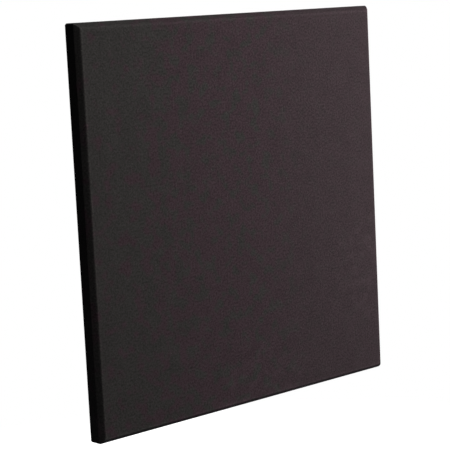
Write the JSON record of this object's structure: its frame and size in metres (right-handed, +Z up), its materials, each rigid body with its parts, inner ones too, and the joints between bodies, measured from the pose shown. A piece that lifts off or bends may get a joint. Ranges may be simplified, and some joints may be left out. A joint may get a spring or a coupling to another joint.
{
  "type": "acoustic panel",
  "caption": "Square cloth-wrapped acoustic wall panel with bevelled front edges, pressed onto barbed wall clips.",
  "frame": {"origin": "on the face of the wall, behind the middle of the panel", "axes": "+X to the right as the panel is looked at, +Y back into the wall, +Z up"},
  "size_m": [0.6096, 0.0463, 0.6096],
  "materials": {
    "cloth": "matte",
    "tissue": "matte",
    "glass_wool": "matte",
    "galvanised": "satin",
    "plated": "satin"
  },
  "bodies": {
    "wall_hardware": {"clip_top_left": "galvanised", "clip_top_right": "galvanised", "clip_bottom_left": "galvanised", "clip_bottom_right": "galvanised", "screw_top_left_upper": "plated", "screw_top_left_lower": "plated", "screw_top_right_upper": "plated", "screw_top_right_lower": "plated", "screw_bottom_left_upper": "plated", "screw_bottom_left_lower": "plated", "screw_bottom_right_upper": "plated", "screw_bottom_right_lower": "plated"},
    "panel": {"core_board": "glass_wool", "front_facing": "tissue", "back_facing": "tissue", "fabric_cover": "cloth"}
  },
  "joints": [
    {"name": "panel_pull_off", "type": "slide", "parent": "wall_hardware", "child": "panel", "axis": [0, -1, 0], "range_m": [0, 0.018]}
  ]
}
